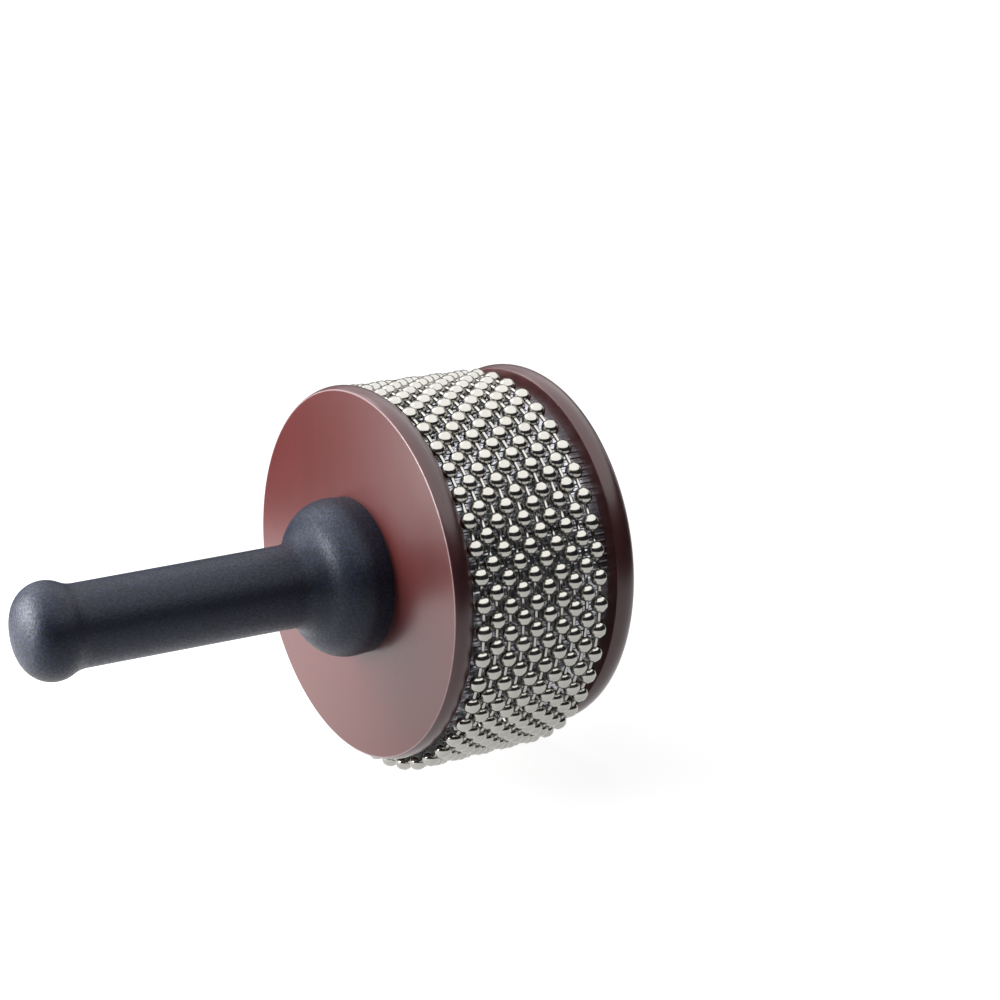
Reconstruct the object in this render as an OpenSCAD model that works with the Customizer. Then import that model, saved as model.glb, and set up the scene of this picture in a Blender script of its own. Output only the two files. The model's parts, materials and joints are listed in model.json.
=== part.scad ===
/* [Wooden discs] */
// Diameter of each disc over the middle of its rounded rim
disc_d = 114; // [109:0.5:130]
// Thickness of each disc
disc_t = 6.4; // [6:0.1:9]
// How far the rim bulges past the sharp edges of the two faces
rim_crown = 1.1; // [0.6:0.1:1.8]

/* [Drum] */
// Width of the drum between the two discs
drum_w = 50.8; // [50:0.2:70]
// Diameter of the steel sleeve over its ridges
sleeve_d = 102.8; // [90:0.2:103.4]
// Height of the ridges pressed in the sleeve
ridge_h = 0.25; // [0.15:0.05:0.3]
// Thickness of the sleeve's sheet under the ridges
sheet_t = 0.5; // [0.4:0.1:0.8]
// Spacing of the ridges round the sleeve
ridge_pitch = 2.1; // [1.6:0.1:3]
// Gap where the two ends of the sheet meet underneath
seam_gap = 0.8; // [0.4:0.1:1.2]

/* [Bead chains] */
// Number of chain loops side by side
chain_count = 10; // [1:1:10]
// Largest diameter of a bead
bead_d = 5.1; // [4.4:0.1:5.2]
// Thickness of a bead's shell
bead_wall = 0.35; // [0.3:0.05:0.45]
// Diameter of the two holes in a bead
bead_hole_d = 1.5; // [1.3:0.05:1.6]
// Distance from bead to bead along the chain
bead_pitch = 8.1; // [7.8:0.1:9]
// Diameter of the wire link between two beads
link_d = 0.9; // [0.7:0.05:1]
// Diameter of the round head that holds a link inside a bead
link_head_d = 1.86; // [1.75:0.02:1.9]
// Distance between neighbouring loops, which nest with their beads staggered
loop_spacing = 4.55; // [4.5:0.05:4.9]
// Gap between the first loop and the disc on the handle side
chain_side_gap = 0.2; // [0.15:0.05:0.5]
// Gap between a loop and the sleeve where the loop hangs on its top
chain_hang_gap = 0.2; // [0.1:0.05:0.3]
// Least slack of a loop, as the drop of its centre below the drum's axis
chain_slack = 1.6; // [0.6:0.1:3]

/* [Handle] */
// Length of the handle from the disc to the end of its knob
handle_l = 107.7; // [95:0.1:130]
// Diameter of the flange that bears on the disc
flange_foot_d = 47.4; // [46:0.2:60]
// Largest diameter of the flange
flange_d = 48; // [46.5:0.5:62]
// Distance from the disc to the largest diameter of the flange
flange_swell_h = 5.2; // [3:0.1:7]
// Radius of the flange's round shoulder
flange_shoulder_r = 11.5; // [9:0.1:13]
// Radius of the hollow curve from the flange to the grip
flange_fillet_r = 9; // [6:0.5:14]
// Diameter of the grip next to the flange
grip_root_d = 25; // [22:0.2:27]
// Diameter of the grip at its neck in front of the knob
grip_neck_d = 24.2; // [20:0.2:25]
// Largest diameter of the knob
knob_d = 28.6; // [26:0.2:34]
// Radius of the knob's round edge
knob_edge_r = 8.9; // [8.6:0.1:10]
// How far the shallow dome at the end stands past the knob's round edge
knob_dome_h = 0.8; // [0.3:0.1:2]
// Radius of the hollow curve from the grip's neck to the knob
neck_fillet_r = 10; // [5:0.5:12]

/* [Fasteners] */
// Thread diameter of the bolt through the drum
bolt_d = 6; // [5:0.5:6]
// Length of the bolt under its head
bolt_l = 75; // [73:0.5:77]
// Diameter of the bolt's head
bolt_head_d = 12; // [10:0.5:13]
// Height of the bolt's head
bolt_head_h = 3; // [2.6:0.1:3]
// Size of the hexagon socket across its flats
socket_af = 4; // [3:0.5:4.5]
// Depth of the hexagon socket
socket_depth = 2; // [1:0.1:2.2]
// Diameter of the washer under the bolt's head
washer_d = 18; // [15:0.5:20]
// Thickness of the washer
washer_t = 1.2; // [1:0.1:1.4]
// Diameter of the threaded brass insert in the handle
insert_d = 9; // [8.5:0.1:10]
// Length of the insert
insert_l = 18; // [17:0.5:24]
// Diameter of a tack's head
tack_head_d = 3.2; // [2.4:0.2:4]
// Height of a tack's head
tack_head_h = 0.6; // [0.4:0.1:0.8]
// Diameter of a tack's shank
tack_d = 1.2; // [1:0.1:1.4]
// Length of a tack's shank
tack_l = 9; // [6:0.5:14]
// Number of tacks along each side of the seam
tack_count = 5; // [2:1:6]
// Distance of the tacks from the middle of the seam
tack_offset = 4.5; // [3:0.1:6]
// Distance of the first and last tack from the discs
tack_edge = 5; // [3:0.5:8]

/* [Hidden] */

// Clearance round a bolt in wood, and round a piece that seats in its own pocket
bolt_clear = 0.3;
seat_clear = 0.03;
// How deep the bolt's head lies under the face of the disc
head_sink = 0.4;
// Width left round the washer in its recess
recess_clear = 1;
// How far a cut runs past the surface that it opens
over = 1;
// Depth of the insert's pocket behind its end, and of the bolt's hole past the bolt
pocket_clear = 2;
// Depth, width and number of the grooves round the insert
groove_h = 0.5;
groove_w = 2;
groove_count = 3;
// Gap between a link's head and the edge of the bead's hole
head_play = 0.2;
// A bead is a barrel: the arc of its belt and of its two shoulders, and how far from
// the middle the shoulders' centres lie, as shares of its radius
belt_share = 1.9;
shoulder_share = 0.72;
shoulder_reach_share = 0.28;

rim_r = (pow(disc_t / 2, 2) + pow(rim_crown, 2)) / (2 * rim_crown);
core_r = sleeve_d / 2 - ridge_h - sheet_t;

bead_r = bead_d / 2;
belt_r = belt_share * bead_r;
shoulder_r = shoulder_share * bead_r;
shoulder_reach = shoulder_reach_share * bead_r;
// The shoulders' arcs run smoothly into the belt's
bead_shoulder_r = sqrt(pow(belt_r - shoulder_r, 2) - pow(shoulder_reach, 2)) - (belt_r - bead_r);
hole_r = bead_hole_d / 2;
head_r = link_head_d / 2;
// A loop that just clears the sleeve has this radius, and each real loop is a whole number of beads
hang_r = sleeve_d / 2 + chain_hang_gap + bead_r;
bead_count = ceil(180 / asin(bead_pitch / 2 / (hang_r + chain_slack)));
bead_step = 360 / bead_count;
loop_r = bead_pitch / 2 / sin(bead_step / 2);
loop_drop = loop_r - hang_r;
// Where a head bears, measured from the centre of its bead
head_reach = shoulder_reach
    + sqrt(pow(shoulder_r - bead_wall, 2) - pow(hole_r - bead_shoulder_r, 2))
    - sqrt(pow(head_r, 2) - pow(hole_r, 2)) - head_play;
// How far each loop has crept round, as a share of the step between its beads:
// a bead lies beside the link of the next loop
creep_shares = [0.65, 0.03, 0.46, 0.95, 0.41, 0.88, 0.32, 0.88, 0.35, 0.84];

// The part lies on its chains, with its origin under the middle of its whole length
axis_z = loop_drop + loop_r + bead_r;
whole_l = 2 * disc_t + drum_w + handle_l;
face_x = whole_l / 2;
end_disc_x = face_x - disc_t;
drum_x = end_disc_x - drum_w;
handle_x = drum_x - disc_t;

recess_h = head_sink + bolt_head_h + washer_t;
bolt_x = face_x - recess_h;
bolt_tip = bolt_l - washer_t - (bolt_x - handle_x);

function chain_node(i, what) = str("chain_", i < 10 ? "0" : "", i, "_", what);
function chain_x(i) = drum_x + chain_side_gap + bead_r + (i - 1) * loop_spacing;
function arc(c, r, from, to, n) =
    [for (k = [0 : n]) let (a = from + (to - from) * k / n) c + r * [cos(a), sin(a)]];

// Carries a shape drawn along Z to the drum's axis, towards the free disc
module on_axis(x) {
    translate([x, 0, axis_z]) rotate([0, 90, 0]) children();
}

// Carries a shape drawn along Z to the drum's axis, towards the end of the handle
module towards_handle(x) {
    translate([x, 0, axis_z]) rotate([0, -90, 0]) children();
}

// Handle: one moulding, drawn as a half outline of distance from the disc against radius
flange_r = flange_d / 2;
shoulder_c = [flange_swell_h, flange_r - flange_shoulder_r];
root_c = [
    flange_swell_h + sqrt(
        pow(flange_shoulder_r + flange_fillet_r, 2)
        - pow(grip_root_d / 2 + flange_fillet_r - shoulder_c[1], 2)),
    grip_root_d / 2 + flange_fillet_r
];
shoulder_end_a = atan2(root_c[1] - shoulder_c[1], root_c[0] - shoulder_c[0]);
knob_c = [handle_l - knob_dome_h - knob_edge_r, knob_d / 2 - knob_edge_r];
neck_c = [
    knob_c[0] - sqrt(
        pow(knob_edge_r + neck_fillet_r, 2)
        - pow(grip_neck_d / 2 + neck_fillet_r - knob_c[1], 2)),
    grip_neck_d / 2 + neck_fillet_r
];
knob_start_a = atan2(neck_c[1] - knob_c[1], neck_c[0] - knob_c[0]);
// The end of the knob is a shallow dome that runs into its round edge
dome_r = (pow(knob_dome_h + knob_edge_r, 2) - pow(knob_edge_r, 2) + pow(knob_c[1], 2))
    / (2 * knob_dome_h);
dome_c = [handle_l - dome_r, 0];
dome_a = atan2(knob_c[1], knob_c[0] - dome_c[0]);
arc_steps = 10;

function handle_outline() = concat(
    [[0, 0], [0, flange_foot_d / 2]],
    arc(shoulder_c, flange_shoulder_r, 90, shoulder_end_a, arc_steps),
    arc(root_c, flange_fillet_r, shoulder_end_a - 180, -90, arc_steps),
    arc(neck_c, neck_fillet_r, -90, knob_start_a - 180, arc_steps),
    arc(knob_c, knob_edge_r, knob_start_a, dome_a, arc_steps),
    arc(dome_c, dome_r, dome_a, 0, arc_steps)
);

module handle() {
    color("#2b2e38") towards_handle(handle_x) difference() {
        rotate_extrude($fn = 96) polygon([for (p = handle_outline()) [p[1], p[0]]]);
        translate([0, 0, -over])
            cylinder(d = insert_d + 2 * seat_clear, h = over + insert_l + seat_clear, $fn = 48);
        cylinder(d = bolt_d + 2 * bolt_clear, h = max(bolt_tip, insert_l) + pocket_clear, $fn = 48);
    }
}

// Threaded brass insert that the bolt pulls into the handle
module handle_insert() {
    color("#b58f47") towards_handle(handle_x) difference() {
        cylinder(d = insert_d, h = insert_l, $fn = 48);
        translate([0, 0, -over])
            cylinder(d = bolt_d + 2 * seat_clear, h = insert_l + 2 * over, $fn = 48);
        for (k = [1 : groove_count])
            translate([0, 0, insert_l * k / (groove_count + 1) - groove_w / 2]) difference() {
                cylinder(d = insert_d + 2 * over, h = groove_w, $fn = 48);
                cylinder(d = insert_d - 2 * groove_h, h = groove_w, $fn = 48);
            }
    }
}

// A turned disc: flat faces, sharp edges and a rim that bulges between them
module disc_outline() {
    square([disc_d / 2 - rim_crown, disc_t]);
    intersection() {
        translate([disc_d / 2 - rim_r, disc_t / 2]) circle(r = rim_r, $fn = 96);
        square([disc_d / 2, disc_t]);
    }
}

module disc() {
    difference() {
        rotate_extrude($fn = 180) disc_outline();
        translate([0, 0, -over])
            cylinder(d = bolt_d + 2 * bolt_clear, h = disc_t + 2 * over, $fn = 48);
    }
}

module handle_disc() {
    color("#7a3a3a") on_axis(handle_x) disc();
}

module end_disc() {
    color("#7a3a3a") on_axis(end_disc_x) difference() {
        disc();
        translate([0, 0, disc_t - recess_h])
            cylinder(d = washer_d + recess_clear, h = recess_h + over, $fn = 72);
    }
}

// Places a child at each tack, with Z pointing outwards from the sleeve's ridges
module each_tack() {
    for (side = [-1, 1], k = [0 : tack_count - 1])
        on_axis(drum_x + tack_edge + (drum_w - 2 * tack_edge) * k / (tack_count - 1))
            rotate([0, 0, side * 180 / PI * tack_offset / (sleeve_d / 2)])
                translate([sleeve_d / 2, 0, 0]) rotate([0, 90, 0]) children();
}

module core() {
    color("#c9a36b") difference() {
        on_axis(drum_x) difference() {
            cylinder(r = core_r, h = drum_w, $fn = 180);
            translate([0, 0, -over])
                cylinder(d = bolt_d + 2 * bolt_clear, h = drum_w + 2 * over, $fn = 48);
        }
        each_tack() translate([0, 0, -tack_l - seat_clear])
            cylinder(d = tack_d + 2 * seat_clear, h = tack_l + over, $fn = 24);
    }
}

// Sleeve: a sheet with fine ridges along the drum, wrapped round the core
ridge_count = round(PI * sleeve_d / ridge_pitch);
ridge_points_shares = [[0.1, 0], [0.3, 1], [0.7, 1], [0.9, 0]];

module sleeve() {
    color("#b9bec6") difference() {
        on_axis(drum_x) linear_extrude(drum_w) difference() {
            polygon([for (i = [0 : ridge_count - 1], s = ridge_points_shares)
                let (a = (i + s[0]) * 360 / ridge_count, r = sleeve_d / 2 - ridge_h * (1 - s[1]))
                r * [cos(a), sin(a)]]);
            circle(r = core_r + seat_clear, $fn = 180);
            translate([0, -seam_gap / 2]) square([sleeve_d, seam_gap]);
        }
        each_tack() translate([0, 0, -sheet_t - ridge_h - over])
            cylinder(d = tack_d + 2 * seat_clear, h = sheet_t + ridge_h + 2 * over, $fn = 24);
    }
}

module sleeve_tacks() {
    color("#9a9a98") each_tack() {
        translate([0, 0, -tack_l]) cylinder(d = tack_d, h = tack_l + seat_clear, $fn = 24);
        translate([0, 0, seat_clear]) cylinder(d = tack_head_d, h = tack_head_h, $fn = 32);
    }
}

module through_bolt() {
    color("#a8a8a4") on_axis(bolt_x) difference() {
        union() {
            translate([0, 0, washer_t - bolt_l]) cylinder(d = bolt_d, h = bolt_l, $fn = 48);
            translate([0, 0, washer_t]) cylinder(d = bolt_head_d, h = bolt_head_h, $fn = 48);
        }
        translate([0, 0, washer_t + bolt_head_h - socket_depth])
            cylinder(d = socket_af / cos(30), h = socket_depth + over, $fn = 6);
    }
}

module washer() {
    color("#a8a8a4") on_axis(bolt_x) difference() {
        cylinder(d = washer_d, h = washer_t, $fn = 48);
        translate([0, 0, -over])
            cylinder(d = bolt_d + 2 * bolt_clear, h = washer_t + 2 * over, $fn = 48);
    }
}

// Section of the barrel, drawn in by a depth
module bead_section(depth) {
    belt_half_l = (belt_r - depth) * shoulder_reach / (belt_r - shoulder_r);
    intersection() {
        translate([bead_r - belt_r, 0]) circle(r = belt_r - depth, $fn = 96);
        translate([0, -belt_half_l]) square([bead_d, 2 * belt_half_l]);
    }
    for (end = [-1, 1])
        translate([bead_shoulder_r, end * shoulder_reach]) circle(r = shoulder_r - depth, $fn = 48);
}

// A hollow bead with a hole at each end of its local X axis
module bead() {
    rotate([0, 90, 0]) rotate_extrude($fn = 24) difference() {
        bead_section(0);
        bead_section(bead_wall);
        translate([-bead_d, -bead_d]) square([bead_d + hole_r, 2 * bead_d]);
    }
}

// A link: wire with a round head at each end, held inside two beads
module link() {
    half = bead_pitch / 2 - head_reach;
    rotate([0, 90, 0]) rotate_extrude($fn = 24) intersection() {
        union() {
            translate([0, -half]) square([link_d / 2, 2 * half]);
            for (end = [-1, 1]) translate([0, end * half]) circle(r = head_r, $fn = 48);
        }
        translate([0, -bead_pitch]) square([bead_pitch, 2 * bead_pitch]);
    }
}

// Loops hang on the top of the sleeve, so their centre is a little under the drum's axis
module each_step(i, shift) {
    translate([chain_x(i), 0, axis_z - loop_drop])
        for (k = [0 : bead_count - 1])
            rotate([(k + shift - creep_shares[i - 1]) * bead_step, 0, 0])
                children();
}

module chain_beads(i) {
    color("#d8d6d0") each_step(i, 0) translate([0, 0, loop_r]) rotate([0, 0, 90]) bead();
}

module chain_links(i) {
    color("#b4b2ac") each_step(i, 1 / 2)
        translate([0, 0, loop_r * cos(bead_step / 2)]) rotate([0, 0, 90]) link();
}

handle();
handle_insert();
handle_disc();
end_disc();
core();
sleeve();
sleeve_tacks();
through_bolt();
washer();
for (i = [1 : chain_count]) {
    chain_beads(i);
    chain_links(i);
}
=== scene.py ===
import json
import math
import random

import bmesh
import bpy
from mathutils import Matrix, Vector


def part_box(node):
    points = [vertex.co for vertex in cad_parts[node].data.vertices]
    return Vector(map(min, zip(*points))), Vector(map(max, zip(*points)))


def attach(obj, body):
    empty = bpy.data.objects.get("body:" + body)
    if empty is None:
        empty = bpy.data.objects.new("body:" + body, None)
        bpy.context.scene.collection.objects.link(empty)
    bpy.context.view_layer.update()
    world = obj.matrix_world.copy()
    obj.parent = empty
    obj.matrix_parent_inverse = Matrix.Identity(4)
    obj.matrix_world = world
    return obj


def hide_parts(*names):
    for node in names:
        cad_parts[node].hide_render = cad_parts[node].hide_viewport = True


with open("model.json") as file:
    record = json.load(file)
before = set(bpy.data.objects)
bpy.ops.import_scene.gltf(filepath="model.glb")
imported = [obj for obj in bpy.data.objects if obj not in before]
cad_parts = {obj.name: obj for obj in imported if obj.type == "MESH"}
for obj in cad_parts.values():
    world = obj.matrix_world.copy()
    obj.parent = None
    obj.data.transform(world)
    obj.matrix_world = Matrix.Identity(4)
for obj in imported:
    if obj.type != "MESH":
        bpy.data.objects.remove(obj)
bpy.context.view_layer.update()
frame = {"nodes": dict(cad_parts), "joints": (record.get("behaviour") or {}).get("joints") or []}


# Handle
# One moulding in black plastic with a spark-eroded grain: a flange that bears on
# the disc, a straight grip and a knob. The bolt through the drum pulls it tight.
MM = 0.001
disc_low, disc_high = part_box("handle_disc")
handle_low, handle_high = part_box("handle")
axis_z = (disc_low.z + disc_high.z) / 2
disc_face_x = disc_low.x
handle_l = disc_face_x - handle_low.x
flange_r = (handle_high.y - handle_low.y) / 2
flange_foot_r = 23.7 * MM
flange_swell_h = 5.2 * MM
shoulder_r = 11.5 * MM
flange_fillet_r = 9 * MM
grip_root_r = 12.5 * MM
grip_neck_r = 12.1 * MM
knob_r = 14.3 * MM
knob_edge_r = 8.9 * MM
knob_dome_h = 0.8 * MM
neck_fillet_r = 10 * MM
handle_hole_r = 4.6 * MM
handle_hole_l = 20 * MM
handle_sides = 96
seam_gap = 0.001 * MM
sharp_corner = math.radians(35)
plastic_shades = ((0.005, 0.007, 0.016), (0.008, 0.011, 0.024))
grain_pit = (0.1, 0.1, 0.1)
grain_peak = (2.9, 2.9, 2.9)
grain_depth = 0.17 * MM
plastic_shine = 0.36
plastic_tint = (0.84, 0.88, 1, 1)


def arc(centre, radius, start, end, steps):
    """Points (distance from the disc, radius) along a round stretch of an outline."""
    angles = [start + (end - start) * k / steps for k in range(steps + 1)]
    return [(centre[0] + radius * math.cos(a), centre[1] + radius * math.sin(a)) for a in angles]


def handle_outline():
    """From the hole in the foot, over flange, grip and knob, to the middle of the knob's end."""
    shoulder = (flange_swell_h, flange_r - shoulder_r)
    root_y = grip_root_r + flange_fillet_r
    reach = shoulder_r + flange_fillet_r
    root = (shoulder[0] + math.sqrt(reach**2 - (root_y - shoulder[1]) ** 2), root_y)
    shoulder_end = math.atan2(root[1] - shoulder[1], root[0] - shoulder[0])
    knob = (handle_l - knob_dome_h - knob_edge_r, knob_r - knob_edge_r)
    neck_y = grip_neck_r + neck_fillet_r
    reach = knob_edge_r + neck_fillet_r
    neck = (knob[0] - math.sqrt(reach**2 - (neck_y - knob[1]) ** 2), neck_y)
    knob_start = math.atan2(neck[1] - knob[1], neck[0] - knob[0])
    dome_r = ((knob_dome_h + knob_edge_r) ** 2 - knob_edge_r**2 + knob[1] ** 2) / (2 * knob_dome_h)
    dome = (handle_l - dome_r, 0)
    dome_start = math.atan2(knob[1], knob[0] - dome[0])
    quarter = math.pi / 2
    points = [(handle_hole_l, 0), (handle_hole_l, handle_hole_r), (0, handle_hole_r), (0, flange_foot_r)]
    points += arc(shoulder, shoulder_r, quarter, shoulder_end, 14)
    points += arc(root, flange_fillet_r, shoulder_end - math.pi, -quarter, 12)
    points += arc(neck, neck_fillet_r, -quarter, knob_start - math.pi, 8)
    points += arc(knob, knob_edge_r, knob_start, dome_start, 14)[1:]
    points += arc(dome, dome_r, dome_start, 0, 4)[1:]
    return [(disc_face_x - s, r) for s, r in points]


def spun(outline, segments, height=0, closed=False):
    """Spins an outline of (x, radius) points round an axis along X at the given height."""
    bm = bmesh.new()
    points = [bm.verts.new((x, 0, height + r)) for x, r in outline]
    for a, b in zip(points, points[1:]):
        bm.edges.new((a, b))
    if closed:
        bm.edges.new((points[-1], points[0]))
    bmesh.ops.spin(
        bm, geom=bm.verts[:] + bm.edges[:], cent=(0, 0, height), axis=(1, 0, 0),
        angle=math.tau, steps=segments, use_merge=True)
    return bm


def cleaned(bm):
    """Merges the seams and poles, then turns the faces outwards."""
    bmesh.ops.remove_doubles(bm, verts=bm.verts[:], dist=seam_gap)
    bmesh.ops.recalc_face_normals(bm, faces=bm.faces[:])
    return bm


def finished(name, bm, sharp=sharp_corner):
    """Cleans the mesh, shades it smooth between its sharp corners and makes the object."""
    cleaned(bm)
    for face in bm.faces:
        face.smooth = True
    for edge in bm.edges:
        edge.smooth = len(edge.link_faces) == 2 and edge.calc_face_angle(0) < sharp
    mesh = bpy.data.meshes.new(name)
    bm.to_mesh(mesh)
    bm.free()
    piece = bpy.data.objects.new(name, mesh)
    bpy.context.scene.collection.objects.link(piece)
    return piece


def new_finish(name):
    """A node material with its shader and the object's own coordinates."""
    material = bpy.data.materials.new(name)
    material.use_nodes = True
    tree = material.node_tree
    shader = tree.nodes["Principled BSDF"]
    place = tree.nodes.new("ShaderNodeTexCoord").outputs["Object"]
    return material, tree, shader, place


def feed(tree, source, socket):
    """Links an output to a socket, or sets the socket to a plain value."""
    if isinstance(source, bpy.types.NodeSocket):
        tree.links.new(source, socket)
    else:
        socket.default_value = source


def noise(tree, place, scale, detail=2.0, roughness=0.5):
    """Soft noise with about scale lumps in a metre, or in a unit of a stretched place."""
    texture = tree.nodes.new("ShaderNodeTexNoise")
    feed(tree, scale, texture.inputs["Scale"])
    feed(tree, detail, texture.inputs["Detail"])
    feed(tree, roughness, texture.inputs["Roughness"])
    feed(tree, place, texture.inputs["Vector"])
    return texture.outputs["Fac"]


def graded(tree, amount, stops):
    """A colour ramp through stops of (position, colour)."""
    ramp = tree.nodes.new("ShaderNodeValToRGB")
    elements = ramp.color_ramp.elements
    while len(elements) < len(stops):
        elements.new(1)
    for element, (position, color) in zip(elements, stops):
        element.position = position
        element.color = (*color, 1)
    feed(tree, amount, ramp.inputs["Fac"])
    return ramp.outputs["Color"]


def shaded(tree, amount, shades):
    """From the first shade to the second over the middle of a noise's range."""
    return graded(tree, amount, [(0.3, shades[0]), (0.7, shades[1])])


def ranged(tree, amount, low, high, to_low, to_high):
    """Maps amount from low..high to to_low..to_high."""
    span = tree.nodes.new("ShaderNodeMapRange")
    values = {"From Min": low, "From Max": high, "To Min": to_low, "To Max": to_high}
    for socket, value in values.items():
        feed(tree, value, span.inputs[socket])
    feed(tree, amount, span.inputs["Value"])
    return span.outputs["Result"]


def blended(tree, amount, first, second, mode="MIX"):
    """Lays the second colour over the first by amount."""
    mix = tree.nodes.new("ShaderNodeMix")
    mix.data_type = "RGBA"
    mix.blend_type = mode
    feed(tree, amount, mix.inputs["Factor"])
    feed(tree, first, mix.inputs["A"])
    feed(tree, second, mix.inputs["B"])
    return mix.outputs["Result"]


def embossed(tree, shader, height, depth, strength):
    """Bump of the given depth in metres."""
    bump = tree.nodes.new("ShaderNodeBump")
    feed(tree, depth, bump.inputs["Distance"])
    feed(tree, strength, bump.inputs["Strength"])
    feed(tree, height, bump.inputs["Height"])
    feed(tree, bump.outputs["Normal"], shader.inputs["Normal"])


def moulded_black():
    """The peaks of the grain are worn paler and smoother than the pits between them."""
    material, tree, shader, place = new_finish("moulded_black")
    grain = noise(tree, place, 1300, 3, 0.65)
    bloom = noise(tree, place, 38, 4)
    specks = graded(tree, grain, [(0.42, grain_pit), (0.64, grain_peak)])
    color = blended(tree, 1.0, shaded(tree, bloom, plastic_shades), specks, "MULTIPLY")
    feed(tree, color, shader.inputs["Base Color"])
    feed(tree, ranged(tree, grain, 0.35, 0.7, 0.54, 0.36), shader.inputs["Roughness"])
    feed(tree, plastic_shine, shader.inputs["Specular IOR Level"])
    feed(tree, plastic_tint, shader.inputs["Specular Tint"])
    embossed(tree, shader, grain, grain_depth, 0.8)
    return material


handle = finished("handle_moulding", spun(handle_outline(), handle_sides, axis_z))
handle.data.materials.append(moulded_black())
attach(handle, "drum")
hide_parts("handle")


# Handle insert
# A turned brass insert with rings round it, moulded into the foot of the handle,
# that the bolt screws into. It is hidden once the handle is on.
brass_shades = ((0.6, 0.42, 0.17), (0.75, 0.56, 0.26))
brass_rings = (9000, 30, 30)
ring_depth = 0.02 * MM


def stretched(tree, place, scale, turn=(0, 0, 0), shift=(0, 0, 0)):
    """Coordinates scaled and turned, then shifted."""
    mapping = tree.nodes.new("ShaderNodeMapping")
    feed(tree, shift, mapping.inputs["Location"])
    feed(tree, scale, mapping.inputs["Scale"])
    feed(tree, turn, mapping.inputs["Rotation"])
    feed(tree, place, mapping.inputs["Vector"])
    return mapping.outputs["Vector"]


def turned_brass():
    """The tool's fine rings lie across the axis."""
    material, tree, shader, place = new_finish("turned_brass")
    rings = noise(tree, stretched(tree, place, brass_rings), 1, 2)
    feed(tree, shaded(tree, rings, brass_shades), shader.inputs["Base Color"])
    feed(tree, ranged(tree, rings, 0.3, 0.7, 0.22, 0.36), shader.inputs["Roughness"])
    feed(tree, 1, shader.inputs["Metallic"])
    embossed(tree, shader, rings, ring_depth, 0.4)
    return material


def refinish(node, material):
    """Gives a CAD node its finish and leaves its mesh as it is."""
    piece = frame["nodes"][node]
    if not piece.material_slots:
        piece.data.materials.append(material)
    for slot in piece.material_slots:
        slot.material = material


refinish("handle_insert", turned_brass())


# Discs
# Two turned hardwood discs with a softly rounded rim and sharp faces, clamped on the
# drum's ends. They are stained dark red under satin lacquer. Their rims are darker and
# bluer, partly end grain that takes more stain and partly painted shade and a painted
# cool sky reflection, and a pale line of painted highlight runs round their outer edges.
drum_low, drum_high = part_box("core")
drum_x = (drum_low.x + drum_high.x) / 2
free_face_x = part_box("end_disc")[1].x
faces_reach = (free_face_x - disc_face_x) / 2
disc_t = disc_high.x - disc_low.x
disc_r = (disc_high.z - disc_low.z) / 2
disc_sides = 180
rim_crown = 1.1 * MM
rim_steps = 12
edge_r = disc_r - rim_crown
arris = 0.28 * MM
arris_steps = 4
corner_gap = 0.01 * MM
bolt_hole_r = 3.3 * MM
recess_r = 9.5 * MM
recess_h = 4.6 * MM
stain_shades = ((0.102, 0.018, 0.017), (0.115, 0.021, 0.02))
stain_clouds = ((0.92, 0.9, 0.9), (1.06, 1.06, 1.06))
# The rim's tint: end grain takes more stain, and the rest is painted shade with a painted cool sky
# reflection.
rim_soak_and_painted_shade = (0.72, 0.7, 1, 1)
# A pale line painted along the outer arris as a highlight.
arris_highlight_paint = (0.34, 0.23, 0.24, 1)
figure_stretch = (90, 150, 14)
pore_stretch = (700, 900, 90)
pore_depth = 0.006 * MM
grain_turn = (0.35, 0, 0)
wood_shine = 0.1
lacquer_haze = 0.28
lacquer_ior = 1.55


def disc_outline(outer_x, side, recess=None):
    """Closed outline of a disc from its outer face at outer_x towards side."""
    rim_r = ((disc_t / 2) ** 2 + rim_crown**2) / (2 * rim_crown)
    half = math.asin(disc_t / 2 / rim_r)
    middle = (disc_t / 2, disc_r - rim_r)
    rim = arc(middle, rim_r, math.pi / 2 + half, math.pi / 2 - half, rim_steps)
    points = rim + [(disc_t, bolt_hole_r)]
    if recess:
        points += [(recess[1], bolt_hole_r), (recess[1], recess[0]), (0, recess[0])]
    else:
        points += [(0, bolt_hole_r)]
    return [(outer_x + side * s, r) for s, r in points]


def turned_disc(name, outer_x, side, recess=None):
    """Turns a disc, then breaks the two edges of its rim."""
    bm = cleaned(spun(disc_outline(outer_x, side, recess), disc_sides, axis_z, closed=True))
    corners = [
        e for e in bm.edges
        if all(abs(math.hypot(v.co.y, v.co.z - axis_z) - edge_r) < corner_gap for v in e.verts)
    ]
    bmesh.ops.bevel(
        bm, geom=corners, offset=arris, segments=arris_steps, affect="EDGES", profile=0.5, material=-1)
    return finished(name, bm)


def length_of(tree, vector):
    """How long a vector is."""
    length = tree.nodes.new("ShaderNodeVectorMath")
    length.operation = "LENGTH"
    feed(tree, vector, length.inputs[0])
    return length.outputs["Value"]


def reckoned(tree, operation, first, second, clamp=False):
    """One step of arithmetic on two amounts."""
    step = tree.nodes.new("ShaderNodeMath")
    step.operation = operation
    step.use_clamp = clamp
    feed(tree, first, step.inputs[0])
    feed(tree, second, step.inputs[1])
    return step.outputs["Value"]


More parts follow.
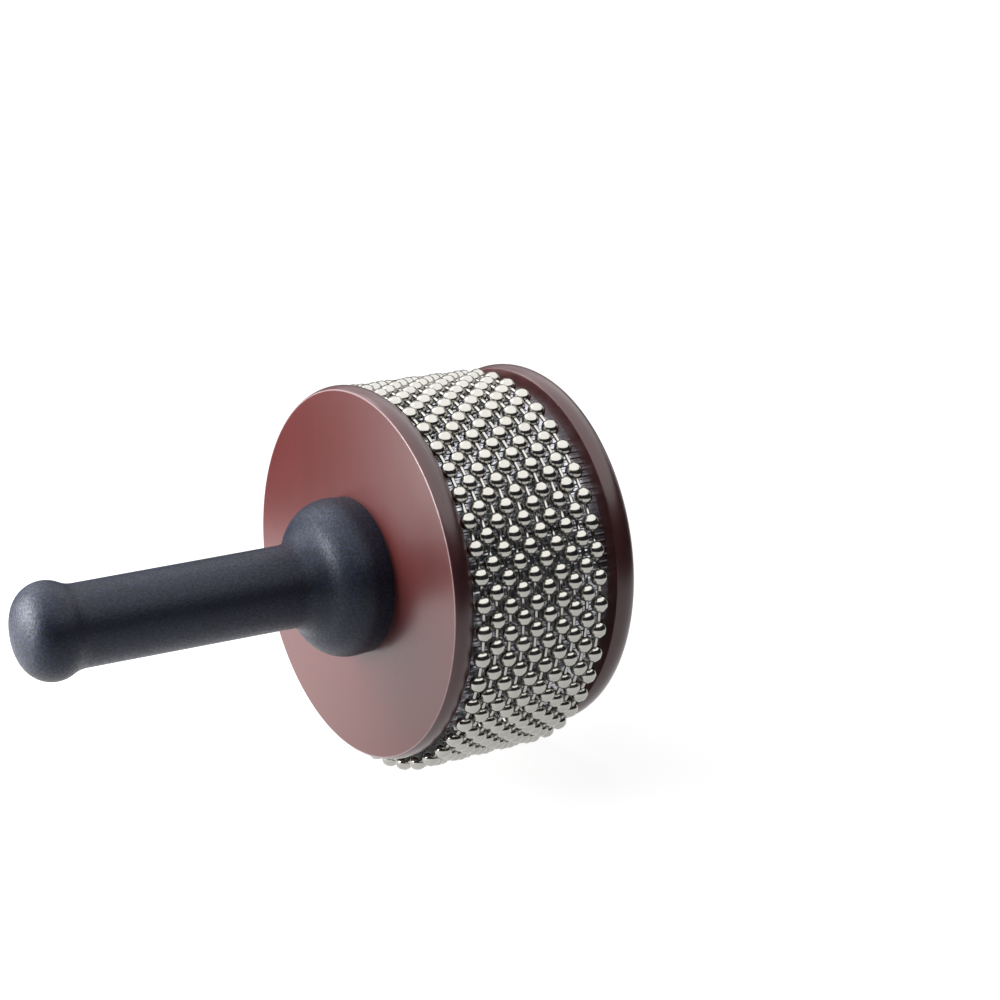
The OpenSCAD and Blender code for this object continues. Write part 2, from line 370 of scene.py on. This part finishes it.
def lacquered_wood():
    """Stain over a faint figure. The rim is darker and bluer, partly end grain that drinks more stain and
    partly painted shade and a painted cool sky reflection. A painted highlight runs along the outer edges.
    """
    material, tree, shader, place = new_finish("lacquered_wood")
    figure = noise(tree, stretched(tree, place, figure_stretch, grain_turn), 1, 4, 0.6)
    pores = noise(tree, stretched(tree, place, pore_stretch, grain_turn), 1, 1)
    cloud = noise(tree, place, 22, 3)
    stain = shaded(tree, figure, stain_shades)
    face = blended(tree, 1.0, stain, shaded(tree, cloud, stain_clouds), "MULTIPLY")
    # The rim colour: extra stain, painted shade and a painted cool sky reflection.
    rim = blended(tree, 1.0, face, rim_soak_and_painted_shade, "MULTIPLY")
    radius = length_of(tree, stretched(tree, place, (0, 1, 1), shift=(0, 0, -axis_z)))
    aside = length_of(tree, stretched(tree, place, (1, 0, 0), shift=(-drum_x, 0, 0)))
    on_rim = ranged(tree, radius, edge_r - arris, edge_r + arris, 0, 1)
    near_edge = ranged(tree, radius, edge_r - 1.5 * arris, edge_r - 0.5 * arris, 0, 1)
    near_face = ranged(tree, aside, faces_reach - 0.8 * arris, faces_reach - 0.2 * arris, 0, 1)
    # Where the painted highlight lies: along the arris of each outer face.
    arris_highlight_mask = reckoned(tree, "MULTIPLY", near_edge, near_face)
    stain_and_rim_shade = blended(tree, on_rim, face, rim)
    feed(tree, blended(tree, arris_highlight_mask, stain_and_rim_shade, arris_highlight_paint), shader.inputs["Base Color"])
    feed(tree, ranged(tree, cloud, 0.3, 0.7, 0.42, 0.5), shader.inputs["Roughness"])
    feed(tree, wood_shine, shader.inputs["Specular IOR Level"])
    feed(tree, 1, shader.inputs["Coat Weight"])
    feed(tree, lacquer_haze, shader.inputs["Coat Roughness"])
    feed(tree, lacquer_ior, shader.inputs["Coat IOR"])
    embossed(tree, shader, pores, pore_depth, 0.1)
    return material


lacquer = lacquered_wood()
handle_disc = turned_disc("handle_disc_turned", disc_face_x, 1)
end_disc = turned_disc("end_disc_turned", free_face_x, -1, (recess_r, recess_h))
for disc, node in ((handle_disc, "handle_disc"), (end_disc, "end_disc")):
    disc.data.materials.append(lacquer)
    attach(disc, "drum")
    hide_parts(node)


# Core
# The drum itself, turned from glued-up softwood and drilled for the bolt. Only a
# thin line of it shows in the gap where the ends of the sleeve meet.
softwood_shades = ((0.42, 0.27, 0.13), (0.62, 0.44, 0.25))
softwood_stretch = (12, 260, 260)
sanding_depth = 0.05 * MM


def sanded_wood():
    """Year rings run along the drum."""
    material, tree, shader, place = new_finish("sanded_wood")
    rings = noise(tree, stretched(tree, place, softwood_stretch), 1, 3)
    feed(tree, shaded(tree, rings, softwood_shades), shader.inputs["Base Color"])
    feed(tree, ranged(tree, rings, 0.3, 0.7, 0.55, 0.75), shader.inputs["Roughness"])
    embossed(tree, shader, rings, sanding_depth, 0.4)
    return material


refinish("core", sanded_wood())


# Sleeve
# Bright steel sheet with fine ridges pressed along it, wrapped round the core with
# its two ends meeting underneath. The beads rattle on these ridges.
steel_shades = ((0.38, 0.39, 0.43), (0.47, 0.48, 0.525))
drawn_stretch = (60, 2400, 2400)
drawn_depth = 0.006 * MM


def pressed_steel():
    """Smudged sheet with the faint lines it was drawn with."""
    material, tree, shader, place = new_finish("pressed_steel")
    drawn = noise(tree, stretched(tree, place, drawn_stretch), 1, 3)
    smudge = noise(tree, place, 90, 3)
    feed(tree, shaded(tree, smudge, steel_shades), shader.inputs["Base Color"])
    feed(tree, ranged(tree, smudge, 0.3, 0.7, 0.16, 0.28), shader.inputs["Roughness"])
    feed(tree, 1, shader.inputs["Metallic"])
    embossed(tree, shader, drawn, drawn_depth, 0.08)
    return material


refinish("sleeve", pressed_steel())


# Sleeve tacks
# Zinc-plated tacks with domed heads, five along each side of the seam, driven
# through the sheet into the core.
tack_head_r = 1.6 * MM
tack_head_h = 0.6 * MM
tack_dome = ((0.4, 0.9), (0.8, 0.55))
tack_r = 0.6 * MM
tack_l = 9 * MM
tack_sides = 16
tack_count = 5
tack_offset = 4.5 * MM
tack_edge = 5 * MM
tack_spacing = (drum_high.x - drum_low.x - 2 * tack_edge) / (tack_count - 1)
sleeve_low, sleeve_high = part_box("sleeve")
sleeve_r = (sleeve_high.z - sleeve_low.z) / 2
zinc_shades = ((0.46, 0.46, 0.45), (0.62, 0.62, 0.61))
spangle_depth = 0.01 * MM


def zinc_plate():
    """Fine spangle, as plating leaves it."""
    material, tree, shader, place = new_finish("zinc_plate")
    spangle = noise(tree, place, 700, 3)
    feed(tree, shaded(tree, spangle, zinc_shades), shader.inputs["Base Color"])
    feed(tree, ranged(tree, spangle, 0.3, 0.7, 0.24, 0.38), shader.inputs["Roughness"])
    feed(tree, 1, shader.inputs["Metallic"])
    embossed(tree, shader, spangle, spangle_depth, 0.3)
    return material


def swung(angle, axis):
    """A turn about one of the three axes."""
    return Matrix.Rotation(angle, 4, axis)


def spun_pattern(outline, segments):
    """A small turned mesh along its own X axis, for repeating."""
    bm = cleaned(spun(outline, segments))
    mesh = bpy.data.meshes.new("pattern")
    bm.to_mesh(mesh)
    bm.free()
    return mesh


def stamped(places, pattern):
    """One mesh with a copy of a small pattern at each place."""
    bm = bmesh.new()
    for place in places:
        before = len(bm.verts)
        bm.from_mesh(pattern)
        bm.verts.ensure_lookup_table()
        bmesh.ops.transform(bm, matrix=place, verts=bm.verts[before:])
    return bm


tack_outline = [(-tack_l, 0), (-tack_l + tack_r, tack_r), (0, tack_r), (0, tack_head_r)]
tack_outline += [(up * tack_head_h, out * tack_head_r) for up, out in tack_dome]
tack_outline += [(tack_head_h, 0)]
tack_places = []
for side in (-1, 1):
    for k in range(tack_count):
        along = Matrix.Translation((drum_low.x + tack_edge + tack_spacing * k, 0, axis_z))
        down = Matrix.Translation((0, 0, -sleeve_r))
        swing = swung(side * tack_offset / sleeve_r, "X")
        tack_places.append(along @ swing @ down @ swung(math.pi / 2, "Y"))
zinc = zinc_plate()
tacks = finished("tacks_domed", stamped(tack_places, spun_pattern(tack_outline, tack_sides)))
tacks.data.materials.append(zinc)
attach(tacks, "drum")
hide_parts("sleeve_tacks")


# Bead chains
# Ten loops of nickel-plated steel ball chain lie loose round the sleeve. Each hollow
# bead is rolled from strip, a little wider than it is high, and wire links join the
# beads end to end.
bead_r = 2.55 * MM
bead_pitch = 8.1 * MM
bead_count = 44
bead_step = math.tau / bead_count
loop_r = bead_pitch / 2 / math.sin(bead_step / 2)
chord_r = loop_r * math.cos(bead_step / 2)
# Half of a bead's outline, in shares of its radius: along the chain, then across it.
bead_outline = ((0.93, 0), (1, 0.268), (0.732, 0.732), (0.268, 1))
bead_sides = 12
bead_corner = math.radians(60)
bead_widening = 1.05
bead_flattening = 0.96
shake = 0.03 * MM
tilt = math.radians(3)
link_r = 0.6 * MM
link_swell = 1.2
link_swell_l = 0.4 * MM
link_sides = 8
# How far each loop has crept back round the drum, in shares of the bead spacing.
creep_shares = (0.65, 0.03, 0.46, 0.95, 0.41, 0.88, 0.32, 0.88, 0.35, 0.84)
nickel_shades = ((0.375, 0.366, 0.338), (0.415, 0.405, 0.375))
scratch_depth = 0.006 * MM


def mirrored_pattern(half, segments):
    """A turned pattern whose outline repeats on the other side of its middle."""
    return spun_pattern(half + [(-s, r) for s, r in reversed(half)], segments)


def nickel_plate():
    """Bright plating, hazy in places, with hair scratches."""
    material, tree, shader, place = new_finish("nickel_plate")
    haze = noise(tree, place, 260, 4)
    scratch = noise(tree, place, 1800, 3)
    feed(tree, shaded(tree, haze, nickel_shades), shader.inputs["Base Color"])
    feed(tree, ranged(tree, haze, 0.35, 0.7, 0.12, 0.2), shader.inputs["Roughness"])
    feed(tree, 1, shader.inputs["Metallic"])
    embossed(tree, shader, scratch, scratch_depth, 0.25)
    return material


nickel = nickel_plate()
bead = mirrored_pattern([(bead_r * s, bead_r * r) for s, r in bead_outline], bead_sides)
link_reach = bead_pitch / 2 - bead_outline[0][0] * bead_r
link = mirrored_pattern(
    [(link_reach, 0), (link_reach, link_swell * link_r), (link_reach - link_swell_l, link_r)],
    link_sides)
spread = Matrix.Diagonal((bead_widening, bead_widening, bead_flattening, 1))
luck = random.Random(7)
for joint, creep in zip(frame["joints"], creep_shares):
    body = joint["child"]
    centre = Matrix.Translation(joint["pos_m"])
    bead_places = []
    link_places = []
    for k in range(bead_count):
        to_bead = centre @ swung((k - creep) * bead_step, "X")
        nudge = Vector([luck.uniform(-shake, shake) for _ in range(3)])
        out = Matrix.Translation(Vector((0, 0, loop_r - shake)) + nudge)
        askew = swung(luck.gauss(0, tilt), "Z") @ swung(luck.gauss(0, tilt), "X")
        along = swung(math.pi / 2, "Z") @ swung(luck.uniform(0, math.tau), "X")
        bead_places.append(to_bead @ out @ askew @ spread @ along)
        to_link = centre @ swung((k + 0.5 - creep) * bead_step, "X")
        chord = Matrix.Translation((0, 0, chord_r))
        link_places.append(to_link @ chord @ swung(math.pi / 2, "Z"))
    for kind, pattern, places in (("beads", bead, bead_places), ("links", link, link_places)):
        piece = finished(f"{body}_{kind}_nickel", stamped(places, pattern), bead_corner)
        piece.data.materials.append(nickel)
        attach(piece, body)
        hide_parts(f"{body}_{kind}")


# Washer and through bolt
# A zinc-plated socket bolt runs through free disc, drum and handle disc into the
# insert. Its washer and low round head lie in a recess of the free disc.
washer_r = 9 * MM
washer_t = 1.2 * MM
washer_edge = 0.15 * MM
washer_sides = 64
bolt_r = 3 * MM
bolt_l = 75 * MM
bolt_sides = 32
bolt_head_r = 6 * MM
bolt_head_h = 3 * MM
head_sides = 48
head_edge = 0.4 * MM
head_edge_steps = 3
socket_r = 4 * MM / 2 / math.cos(math.pi / 6)
socket_depth = 2 * MM
bolt_x = free_face_x - recess_h


def washer_outline():
    """Closed outline of the washer, with its outer corners broken."""
    low, high = bolt_x, bolt_x + washer_t
    return [
        (low, bolt_hole_r), (low, washer_r - washer_edge), (low + washer_edge, washer_r),
        (high - washer_edge, washer_r), (high, washer_r - washer_edge), (high, bolt_hole_r)]


def socket_bolt(name):
    """Head by extruding a disc, its hexagon socket by inset and a push inwards, and the shank below."""
    bm = bmesh.new()
    bmesh.ops.create_circle(bm, cap_ends=True, segments=head_sides, radius=bolt_head_r)
    made = bmesh.ops.extrude_face_region(bm, geom=bm.faces[:])
    top = [g for g in made["geom"] if isinstance(g, bmesh.types.BMVert)]
    bmesh.ops.translate(bm, vec=(0, 0, bolt_head_h), verts=top)
    lid = next(f for f in bm.faces if all(v in top for v in f.verts))
    rim = lid.edges[:]
    bmesh.ops.inset_region(bm, faces=[lid], thickness=bolt_head_r - socket_r)
    for vert in lid.verts:
        angle = math.atan2(vert.co.y, vert.co.x) % (math.pi / 3) - math.pi / 6
        flat = socket_r * math.cos(math.pi / 6) / math.cos(angle)
        vert.co.xy = vert.co.xy.normalized() * flat
    made = bmesh.ops.extrude_discrete_faces(bm, faces=[lid])
    floor_face = made["faces"][0]
    bmesh.ops.translate(bm, vec=(0, 0, -socket_depth), verts=floor_face.verts[:])
    bmesh.ops.bevel(
        bm, geom=rim, offset=head_edge, segments=head_edge_steps, affect="EDGES", profile=0.5, material=-1)
    bmesh.ops.create_cone(
        bm, cap_ends=True, segments=bolt_sides, radius1=bolt_r, radius2=bolt_r, depth=bolt_l,
        matrix=Matrix.Translation((0, 0, -bolt_l / 2)))
    seat = Matrix.Translation((bolt_x + washer_t, 0, axis_z))
    bmesh.ops.transform(bm, matrix=seat @ swung(math.pi / 2, "Y"), verts=bm.verts[:])
    return finished(name, bm)


bolt = socket_bolt("socket_bolt")
washer = finished("washer_pressed", spun(washer_outline(), washer_sides, axis_z, closed=True))
for piece, node in ((bolt, "through_bolt"), (washer, "washer")):
    piece.data.materials.append(zinc)
    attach(piece, "drum")
    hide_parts(node)


# Floor and light
# A white table with a pool of light painted on it as glow to the left. Overhead, one wide panel is only
# mirrored and one only lights, and two more stand on the left. Three dark cards round
# the object are seen only in what it mirrors.
table_r = 8
table_sides = 64
table_white = 0.25
table_rough = 0.7
table_shine = 0.1
# How bright the table looks near the object and far from it, and how far that reaches.
lift_near = 0.9
lift_far = 1.0
lift_from = 0.25
lift_to = 0.9
# The pool of light painted on the table as glow: its middle, where it starts to fade, its end and
# strength.
pool_place = (-0.14, 0.2, 0)
pool_near = 0.03
pool_far = 0.33
pool_lift = 0.5
# The world's strength for rays that light the object. Background rays see it at 1.
sky = 0.07
# Each panel's size, place and how bright it looks. Azimuths are in degrees.
dome_size = (2.6, 2.4)
dome_place = (-0.35, -0.6, 0.7)
dome_glow = 1.15
top_size = (0.9, 0.9)
top_place = (-0.15, 0.3, 0.9)
top_glow = 1.8
left_size = (0.5, 0.5)
left_azimuth = 115
left_distance = 0.6
left_height = 0.6
left_glow = 2.5
side_size = (0.16, 0.16)
side_azimuth = 156
side_distance = 0.26
side_height = 0.12
side_glow = 17.5
# Each card's radius round the drum, where it starts and ends in degrees, its height and its grey.
cards = ((0.34, 136, 352, 0.26, 0.025), (0.3, 10, 95, 0.22, 0.17), (0.3, 95, 132, 0.1, 0.0))
card_steps = 24
card_black = (0.01, 0.01, 0.011, 1)
card_tint = (0.85, 0.9, 1, 1)
camera_place = (-0.3122, -0.56517, 0.250858)
camera_turn = (75.782, 0.206, -34.527)
camera_lens = 81.563
film_w = 36
clip_far = 20


def background_rays(tree):
    """1 for rays that see the background itself, in the picture, in metal or through glass."""
    path = tree.nodes.new("ShaderNodeLightPath").outputs
    seen = path["Is Camera Ray"]
    for other in ("Is Glossy Ray", "Is Transmission Ray"):
        seen = reckoned(tree, "ADD", seen, path[other], clamp=True)
    return seen


def white_table():
    """White to the eye and in reflections; it takes the object's shadow and throws back little light."""
    material, tree, shader, place = new_finish("white_table")
    feed(tree, (table_white, table_white, table_white, 1), shader.inputs["Base Color"])
    feed(tree, table_rough, shader.inputs["Roughness"])
    feed(tree, table_shine, shader.inputs["Specular IOR Level"])
    feed(tree, (1, 1, 1, 1), shader.inputs["Emission Color"])
    lift = ranged(tree, length_of(tree, place), lift_from, lift_to, lift_near, lift_far)
    # A painted pool of light: glow added to the table to the left of the object.
    from_pool = stretched(tree, place, (1, 1, 1), shift=[-c for c in pool_place])
    pool = ranged(tree, length_of(tree, from_pool), pool_near, pool_far, pool_lift, 0)
    both = reckoned(tree, "ADD", lift, pool)
    glow = reckoned(tree, "MULTIPLY", both, background_rays(tree))
    feed(tree, glow, shader.inputs["Emission Strength"])
    return material


def dark_card(name, radius, start, end, height, grey):
    """A card stood on edge in an arc round the drum, seen only by glossy rays."""
    material, tree, shader, place = new_finish(name)
    feed(tree, card_black, shader.inputs["Base Color"])
    feed(tree, 1, shader.inputs["Roughness"])
    feed(tree, 0, shader.inputs["Specular IOR Level"])
    feed(tree, card_tint, shader.inputs["Emission Color"])
    feed(tree, grey, shader.inputs["Emission Strength"])
    bm = bmesh.new()
    angle = math.radians(start)
    foot = bm.verts.new((drum_x + radius * math.cos(angle), radius * math.sin(angle), 0))
    head = bm.verts.new((foot.co.x, foot.co.y, height))
    bm.edges.new((foot, head))
    bmesh.ops.spin(
        bm, geom=bm.verts[:] + bm.edges[:], cent=(drum_x, 0, 0), axis=(0, 0, 1),
        angle=math.radians(end - start), steps=card_steps)
    card = finished(name, bm)
    card.data.materials.append(material)
    card.visible_camera = False
    card.visible_diffuse = False
    card.visible_shadow = False
    card.visible_transmission = False


def panel(name, place, target, size, glow):
    """A soft panel of the given size whose surface looks as bright as glow."""
    light = bpy.data.lights.new(name, "AREA")
    light.shape = "RECTANGLE"
    light.size, light.size_y = size
    light.energy = glow * math.pi * size[0] * size[1]
    lamp = bpy.data.objects.new(name, light)
    lamp.location = place
    lamp.rotation_euler = (Vector(target) - Vector(place)).to_track_quat("-Z", "Y").to_euler()
    lamp.visible_camera = False
    bpy.context.scene.collection.objects.link(lamp)
    return lamp


def round_about(azimuth, distance, height):
    """A place seen from the middle of the object."""
    angle = math.radians(azimuth)
    return (distance * math.cos(angle), distance * math.sin(angle), height)


bm = bmesh.new()
bmesh.ops.create_circle(bm, cap_ends=True, segments=table_sides, radius=table_r)
table = finished("table", bm)
table.data.materials.append(white_table())
for number, card_sizes in enumerate(cards, 1):
    dark_card(f"card_{number}", *card_sizes)

world = bpy.data.worlds.new("studio")
bpy.context.scene.world = world
world.use_nodes = True
surround = world.node_tree.nodes["Background"]
surround.inputs["Color"].default_value = (1, 1, 1, 1)
strength = ranged(world.node_tree, background_rays(world.node_tree), 0, 1, sky, 1)
feed(world.node_tree, strength, surround.inputs["Strength"])

dome = panel("overhead_dome", dome_place, (*dome_place[:2], 0), dome_size, dome_glow)
dome.visible_diffuse = False
top = panel("top_panel", top_place, (drum_x, 0, axis_z), top_size, top_glow)
top.visible_glossy = False
left_place = round_about(left_azimuth, left_distance, left_height)
panel("left_panel", left_place, (0, 0, axis_z), left_size, left_glow)
side_place = round_about(side_azimuth, side_distance, side_height)
panel("side_panel", side_place, (0, 0, axis_z), side_size, side_glow)

camera = bpy.data.objects.new("camera", bpy.data.cameras.new("camera"))
camera.location = camera_place
camera.rotation_euler = [math.radians(angle) for angle in camera_turn]
camera.data.lens = camera_lens
camera.data.sensor_width = film_w
camera.data.clip_end = clip_far
bpy.context.scene.collection.objects.link(camera)
bpy.context.scene.camera = camera
bpy.context.scene.view_settings.view_transform = "Standard"
